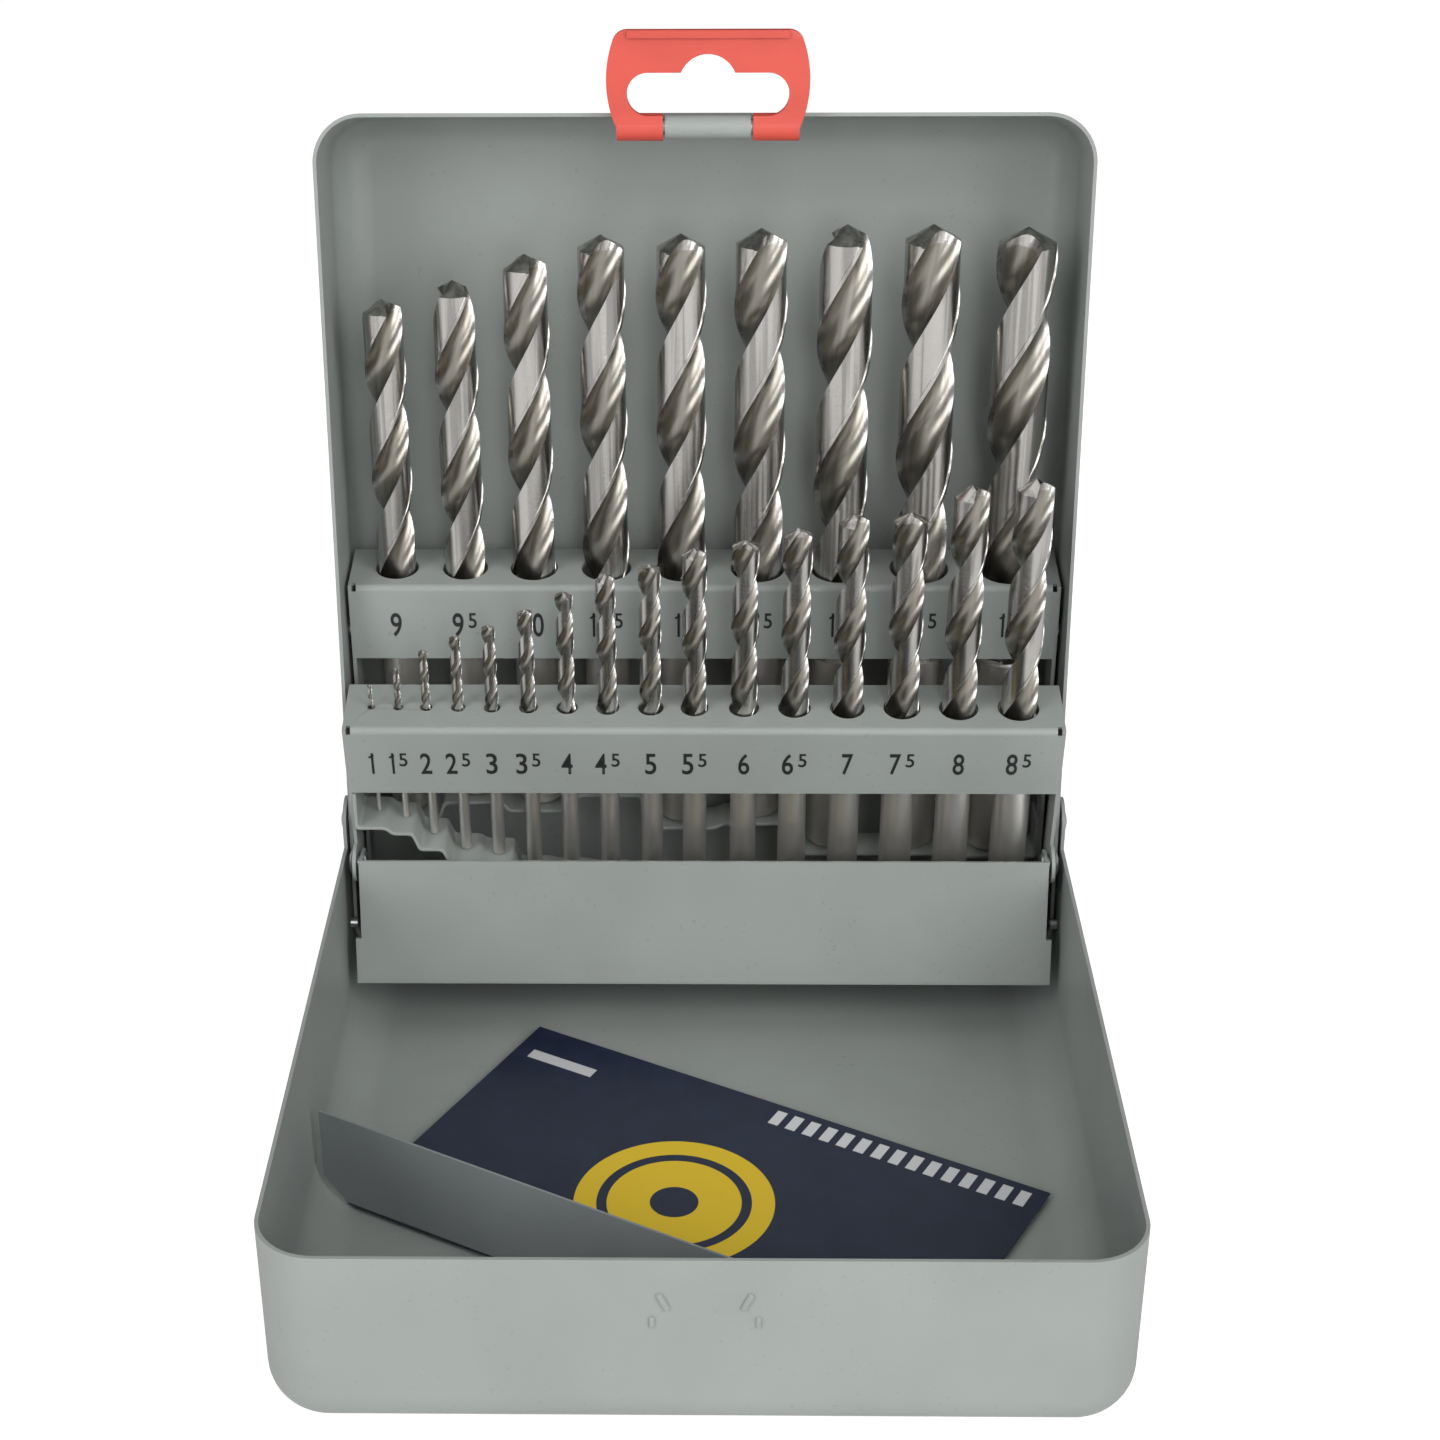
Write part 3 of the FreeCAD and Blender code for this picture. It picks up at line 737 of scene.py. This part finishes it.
def printed_digit(char, height, width):
    """One digit as a flat mesh in the XZ plane, its left end on x 0 and its foot on z 0, with
    how wide it is. The 1 gets a slanting flag."""
    begin()
    bpy.ops.object.text_add(location=(0, 0, 0))
    obj = bpy.context.active_object
    obj.data.body = char
    obj.data.offset = LETTER_BOLD
    bpy.ops.object.convert(target="MESH")
    obj = bpy.context.active_object
    xs, ys = [v.co.x for v in obj.data.vertices], [v.co.y for v in obj.data.vertices]
    tall = max(ys) - min(ys)
    wide = (max(xs) - min(xs)) if char != "1" else tall * RAW_STEM_SHARE
    across = width * (STEM_SHARE if char == "1" else 1.0)
    put(obj, Matrix.Rotation(math.radians(90), 4, "X")
        @ Matrix.Diagonal((across / wide, height / tall, 1, 1))
        @ Matrix.Translation((-min(xs), -min(ys), 0)))
    if char != "1":
        return obj, width
    stem = max(v.co.x for v in obj.data.vertices)
    begin()
    bpy.ops.mesh.primitive_plane_add(size=1, location=(0, 0, 0))
    flag = bpy.context.active_object
    put(flag, Matrix.Translation((stem * FLAG_SHIFT_SHARE, 0, height * FLAG_HEIGHT_SHARE))
        @ Matrix.Rotation(FLAG_LEAN, 4, "Y") @ Matrix.Rotation(math.radians(90), 4, "X")
        @ Matrix.Diagonal((width * FLAG_LENGTH_SHARE, height * FLAG_THICK_SHARE, 1, 1)))
    join(obj, flag)
    put(obj, Matrix.Translation((width * FLAG_ROOM_SHARE, 0, 0)))
    return obj, width * FLAG_ROOM_SHARE + stem


def size_label(diameter, look):
    """The size as it is printed: a whole number, with a small raised 5 for the halves."""
    parts, reach = [], 0.0
    for char in str(int(diameter)):
        part, wide = printed_digit(char, look.digit_height, look.digit_height * look.digit_width)
        put(part, Matrix.Translation((reach, 0, 0)))
        reach += wide + look.digit_gap
        parts.append(part)
    if diameter % 1:
        small = look.digit_height * look.half_share
        part, wide = printed_digit("5", small, small * look.digit_width * RAISED_WIDTH_SHARE)
        put(part, Matrix.Translation((reach + look.digit_gap * RAISED_GAP_SHARE, 0,
                                      look.digit_height - small)))
        reach += wide + look.digit_gap * (1 + RAISED_GAP_SHARE)
        parts.append(part)
    for part in parts:
        put(part, Matrix.Translation(((look.digit_gap - reach) / 2, 0, -look.digit_height / 2)))
    return parts


class CASE_OT_sizes(bpy.types.Operator):
    """The drill sizes printed on the faces of the two racks"""
    bl_idname = "drill_case.sizes"
    bl_label = "Printed sizes"

    def execute(self, context):
        look = context.scene.rack_look
        ink = printed_ink("printed ink", look.ink)
        rows = [("front_rack", "front_rack", FRONT_ROW, look.front_tilt, look.front_fold),
                ("back_rack", "back_shell", BACK_ROW, look.back_tilt - look.back_fold_open,
                 look.back_fold)]
        for node, body, row, tilt, fold in rows:
            labels = []
            for diameter, _, _, x, _, _ in row:
                for part in size_label(diameter, look):
                    put(part, Matrix.Translation(Vector(fold)) @ Matrix.Rotation(tilt, 4, "X")
                        @ Matrix.Translation((x * MM, -INK_LIFT, -look.drop)))
                    labels.append(part)
            obj = join(*labels)
            obj.name = obj.data.name = node + "_sizes"
            dress(obj, ink)
            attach(obj, body)
        return {"FINISHED"}


def flute_point(step, look):
    """A point of the flute's arc, step 0 to 1 from land to land, as (angle, share)."""
    side = math.pi / 2 - look.land
    centre = (1 - look.web ** 2) / (2 * (math.cos(side) - look.web))
    r = centre - look.web
    first = math.atan2(math.sin(side), math.cos(side) - centre)
    a = first + (2 * math.pi - 2 * first) * step
    out, across = centre + r * math.cos(a), r * math.sin(a)
    return math.pi / 2 - math.atan2(across, out), math.hypot(out, across)


def section_point(i, look):
    """Point i of half the drill's section, as (angle, share): the land, then the flute."""
    half = look.sides // 2
    on_land = round(look.sides * LAND_POINTS_SHARE)
    if i > on_land:
        angle, share = flute_point((i - on_land) / (half - on_land), look)
        heel = max(0.0, 1 - (half - i) / HEEL_POINTS)
        return angle, share * (1 + (look.clearance - 1) * heel)
    if i >= on_land - MARGIN_POINTS:
        return look.land - look.margin * (on_land - i) / MARGIN_POINTS, 1.0
    behind = 2 * look.land - look.margin * MARGIN_STEP_SHARE
    return -look.land + behind * i / (on_land - MARGIN_POINTS - 1), look.clearance


def drill_section(look):
    """The section of a drill of radius 1 as a closed line: two lands and two flutes."""
    begin()
    bpy.ops.mesh.primitive_circle_add(vertices=look.sides, radius=1, fill_type="NOTHING",
                                      location=(0, 0, 0))
    obj = bpy.context.active_object
    half = look.sides // 2
    edit(obj)
    order = sorted(obj.data.vertices, key=lambda v: math.atan2(v.co.y, v.co.x) % (2 * math.pi))
    order = [(v.index, v.co.copy()) for v in order]
    for i, (index, place) in enumerate(order):
        angle, share = section_point(i % half, look)
        angle += math.pi * (i // half)
        goal = Vector((share * math.cos(angle), share * math.sin(angle), 0))
        pick(obj, "verts", lambda v: v.index == index)
        bpy.ops.transform.translate(value=goal - place)
    bpy.ops.object.mode_set(mode="OBJECT")
    return obj


def fluted_stock(name, section, r, start, flute, facing, pitch):
    """The section of radius r, swept from start up its helix and closed at both ends."""
    obj = section.copy()
    obj.data = section.data.copy()
    obj.name = obj.data.name = name
    bpy.context.scene.collection.objects.link(obj)
    put(obj, Matrix.Translation((0, 0, start)) @ Matrix.Rotation(facing, 4, "Z")
        @ Matrix.Diagonal((r, r, 1, 1)))
    turns = flute / pitch
    steps = max(FEWEST_STEPS, math.ceil(turns * STEPS_A_TURN))
    apply(obj, "SCREW", axis="Z", angle=turns * 2 * math.pi, screw_offset=flute,
          steps=steps, render_steps=steps, use_smooth_shade=True, use_normal_calculate=True)
    edit(obj)
    bpy.ops.mesh.select_all(action="SELECT")
    bpy.ops.mesh.fill_holes(sides=0)
    bpy.ops.mesh.select_all(action="SELECT")
    bpy.ops.mesh.normals_make_consistent(inside=False)
    bpy.ops.object.mode_set(mode="OBJECT")
    return obj


def pencil(r, start, body, tip):
    """The pencil shape that the fluted stock is cut to, its cone as high as tip."""
    begin()
    bpy.ops.mesh.primitive_cylinder_add(vertices=PENCIL_SIDES, radius=r * PENCIL_SHARE, depth=body,
                                        location=(0, 0, start - r + body / 2))
    obj = bpy.context.active_object
    edit(obj)
    pick(obj, "faces", lambda f: all(v.co.z > body / 2 - NEAR for v in f.verts))
    rise = tip * (1 - CHISEL_SHARE)
    bpy.ops.mesh.extrude_region_move(TRANSFORM_OT_translate={"value": (0, 0, rise)})
    bpy.ops.transform.resize(value=(CHISEL_SHARE, CHISEL_SHARE, 1))
    bpy.ops.object.mode_set(mode="OBJECT")
    return obj


def plain_shank(r, start, look):
    """The round shank, bevelled at its foot and slightly at its top."""
    begin()
    bpy.ops.mesh.primitive_cylinder_add(vertices=look.sides * 2, radius=r * SHANK_SHARE,
                                        depth=start, location=(0, 0, start / 2))
    obj = bpy.context.active_object
    edit(obj)
    for side, share in ((-1, FOOT_BEVEL_SHARE), (1, TOP_BEVEL_SHARE)):
        pick(obj, "edges", lambda e: all(v.co.z * side > start / 2 - NEAR for v in e.verts))
        bpy.ops.mesh.bevel(offset=2 * r * share, segments=1, affect="EDGES")
    put(obj, Matrix.Identity(4))
    return obj


def mark_drill(obj, r, start, end, pitch):
    """Two attributes for the finish: how deep in a flute each point lies, -1 on the shank and 0
    from end up, and the point with the helix untwisted."""
    groove = obj.data.attributes.new("groove", "FLOAT", "POINT")
    straight = obj.data.attributes.new("untwisted", "FLOAT_VECTOR", "POINT")
    for i, v in enumerate(obj.data.vertices):
        fluted = v.co.z > start + NEAR
        turn = (start - v.co.z) / pitch * 2 * math.pi if fluted else 0.0
        straight.data[i].vector = Matrix.Rotation(turn, 3, "Z") @ v.co
        if not fluted:
            groove.data[i].value = -1.0
        elif v.co.z < end:
            groove.data[i].value = max(0.0, 1 - math.hypot(v.co.x, v.co.y) / r)


def twist_drill(name, spec, lean, hole, section, look):
    """One twist drill: the section swept up its helix, pointed, on a bevelled shank."""
    diameter, total, flute, x, depth, down = spec
    r, total, flute, depth = diameter / 2 * MM, total * MM, flute * MM, depth * MM
    pitch = 2 * math.pi * r / math.tan(look.helix)
    start = total - flute
    tip = r / math.tan(look.point / 2)
    facing = -math.pi / 2 - look.land - 2 * math.pi * (flute - down * MM) / pitch
    obj = fluted_stock(name, section, r, start, flute, facing, pitch)
    combine(obj, pencil(r, start, flute + r - tip, tip), "INTERSECT")
    join(obj, plain_shank(r, start, look))
    mark_drill(obj, r, start, total - tip - CONE_GAP, pitch)
    put(obj, Matrix.Translation((x * MM, hole[1], hole[2])) @ Matrix.Rotation(lean, 4, "X")
        @ Matrix.Translation((0, 0, -depth)))
    smooth(obj, DRILL_SHARP_DEGREES)
    return obj


class CASE_OT_drills(bpy.types.Operator):
    """All 25 twist drills in their racks"""
    bl_idname = "drill_case.drills"
    bl_label = "Twist drills"

    def execute(self, context):
        look, rack = context.scene.drill_look, context.scene.rack_look
        steel = ground_drill_steel("ground drill steel", look)
        rows = [(FRONT_ROW, look.front_lean, rack.front_tilt, rack.front_fold),
                (BACK_ROW, 0.0, rack.back_tilt, rack.back_fold)]
        section = drill_section(look)
        for row, lean, tilt, fold in rows:
            hole = (0, fold[1] + rack.hole_back * math.cos(tilt),
                    fold[2] + rack.hole_back * math.sin(tilt))
            for spec in row:
                node = "drill_" + str(spec[0]).replace(".", "_")
                obj = twist_drill(node + "_bit", spec, lean, hole, section, look)
                ride_as(obj, node, node, steel)
        bpy.data.objects.remove(section)
        return {"FINISHED"}


class CASE_OT_card(bpy.types.Operator):
    """The printed card that lies in the front shell and its upright flap"""
    bl_idname = "drill_case.card"
    bl_label = "Card"

    def execute(self, context):
        look = context.scene.card_look
        low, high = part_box("insert_card")
        centre = (Vector(low) + Vector(high)) / 2
        print_face = printed_card("printed card", look, CARD_TURN, tuple(centre))
        obj = softened("insert_card", "card_sheet", CARD_ROUND)
        ride_as(obj, "insert_card", "insert", print_face)
        obj = softened("card_flap", "flap_sheet", CARD_ROUND)
        ride_as(obj, "card_flap", "insert", plain_card("flap card", look.flap))
        return {"FINISHED"}


def lay_floor(look):
    """A pale floor that takes the shadow, lifted towards white as the camera sees it."""
    begin()
    bpy.ops.mesh.primitive_plane_add(size=FLOOR_SIZE, location=FLOOR_PLACE)
    floor = bpy.context.active_object
    floor.name = floor.data.name = "floor"
    g = Graph("pale floor")
    fleck = g.noise(g.place(), scale=40.0, detail=3.0, roughness=0.5)
    tone = g.mix(fleck, scaled(look.floor, 0.995), look.floor)
    seen = g.node("ShaderNodeLightPath").out("Is Camera Ray")
    lift = g.mix(seen, (0, 0, 0), look.lift)
    floor.data.materials.append(g.finish(base_color=tone, roughness=0.9, emission_color=lift,
                                         emission_strength=1.0))


def hang_sky(look):
    """A soft sky, brighter to the front and above. Steel mirrors darker bands in it, and the
    camera sees it white."""
    world = bpy.data.worlds.new("studio")
    g = Graph("studio", world)
    x, y, z = g.split(g.node("ShaderNodeTexCoord").out("Generated"))
    above = z.smoothstep(-0.2, 0.9) * 0.10
    ahead = (0.0 - y).smoothstep(-0.3, 1.0) * 0.34
    glow = above + ahead + look.sky
    rays = g.node("ShaderNodeLightPath")
    bands = (x.abs() - 0.62).abs().smoothstep(0.14, 0.04) + x.abs().smoothstep(0.16, 0.05)
    glossy = glow * 0.75 - bands * 0.45
    shade = (glow + rays.out("Is Glossy Ray") * (glossy - glow)).math("MAXIMUM", 0.015)
    shade = shade + rays.out("Is Camera Ray") * (1.0 - shade)
    sky = g.node("ShaderNodeBackground", {}, {"Color": (1, 1, 1, 1), "Strength": shade})
    g.node("ShaderNodeOutputWorld", {}, {"Surface": sky.out(0)})
    return world


def set_lamps(look):
    """The studio's area lamps."""
    for name, place, aim, wide, tall, power in LAMPS:
        begin()
        bpy.ops.object.light_add(type="AREA", location=place)
        lamp = bpy.context.active_object
        lamp.name = lamp.data.name = name
        lamp.data.shape = "RECTANGLE"
        lamp.data.size, lamp.data.size_y = wide, tall
        lamp.data.energy = power * look.lamps
        way = Vector(aim) - Vector(place)
        lamp.rotation_euler = way.to_track_quat("-Z", "Y").to_euler()


def set_camera(look):
    """The camera at the photograph's place and angle."""
    begin()
    bpy.ops.object.camera_add(location=look.place)
    camera = bpy.context.active_object
    camera.name = "camera"
    camera.data.sensor_width = 36.0
    camera.data.lens = look.lens
    camera.data.shift_x, camera.data.shift_y = look.shift
    camera.data.clip_start, camera.data.clip_end = 0.01, 50.0
    p, y, r = look.pitch, look.yaw, look.roll
    ahead = Vector((math.sin(y) * math.cos(p), math.cos(y) * math.cos(p), -math.sin(p)))
    right = Vector((math.cos(y), -math.sin(y), 0))
    down = ahead.cross(right)
    turned = right * math.cos(r) + down * math.sin(r)
    up = right * math.sin(r) - down * math.cos(r)
    camera.rotation_euler = Matrix((turned, up, -ahead)).transposed().to_euler()
    return camera


class CASE_OT_stage(bpy.types.Operator):
    """Floor, lights, sky and the camera"""
    bl_idname = "drill_case.stage"
    bl_label = "Stage"

    def execute(self, context):
        look, scene = context.scene.stage_look, context.scene
        lay_floor(look)
        scene.world = hang_sky(look)
        set_lamps(look)
        scene.camera = set_camera(look)
        scene.view_settings.view_transform = "Standard"
        return {"FINISHED"}


class CASE_PT_panel(bpy.types.Panel):
    """Buttons for the pieces of the drill case"""
    bl_idname = "CASE_PT_panel"
    bl_label = "Twist drill case"
    bl_space_type = "VIEW_3D"
    bl_region_type = "UI"
    bl_category = "Drill case"

    def draw(self, context):
        for look in (context.scene.case_look, context.scene.rack_look, context.scene.drill_look,
                     context.scene.card_look, context.scene.stage_look):
            box = self.layout.box()
            for key in look.__annotations__:
                box.prop(look, key)
        for piece in PIECES:
            self.layout.operator(piece.bl_idname)


LOOKS = [("case_look", CaseLook), ("rack_look", RackLook), ("drill_look", DrillLook),
         ("card_look", CardLook), ("stage_look", StageLook)]
PIECES = [CASE_OT_stage, CASE_OT_shells, CASE_OT_fasteners, CASE_OT_hanger, CASE_OT_racks,
          CASE_OT_sizes, CASE_OT_drills, CASE_OT_card]


def register():
    """Make the looks, the operators and the panel known."""
    for name, look in LOOKS:
        bpy.utils.register_class(look)
        setattr(bpy.types.Scene, name, PointerProperty(type=look))
    for piece in PIECES:
        bpy.utils.register_class(piece)
    bpy.utils.register_class(CASE_PT_panel)


def unregister():
    """Take them away again."""
    bpy.utils.unregister_class(CASE_PT_panel)
    for piece in reversed(PIECES):
        bpy.utils.unregister_class(piece)
    for name, look in reversed(LOOKS):
        delattr(bpy.types.Scene, name)
        bpy.utils.unregister_class(look)


def main():
    """Make every piece in its turn."""
    register()
    for piece in PIECES:
        group, action = piece.bl_idname.split(".")
        getattr(getattr(bpy.ops, group), action)()


if __name__ == "__main__":
    main()
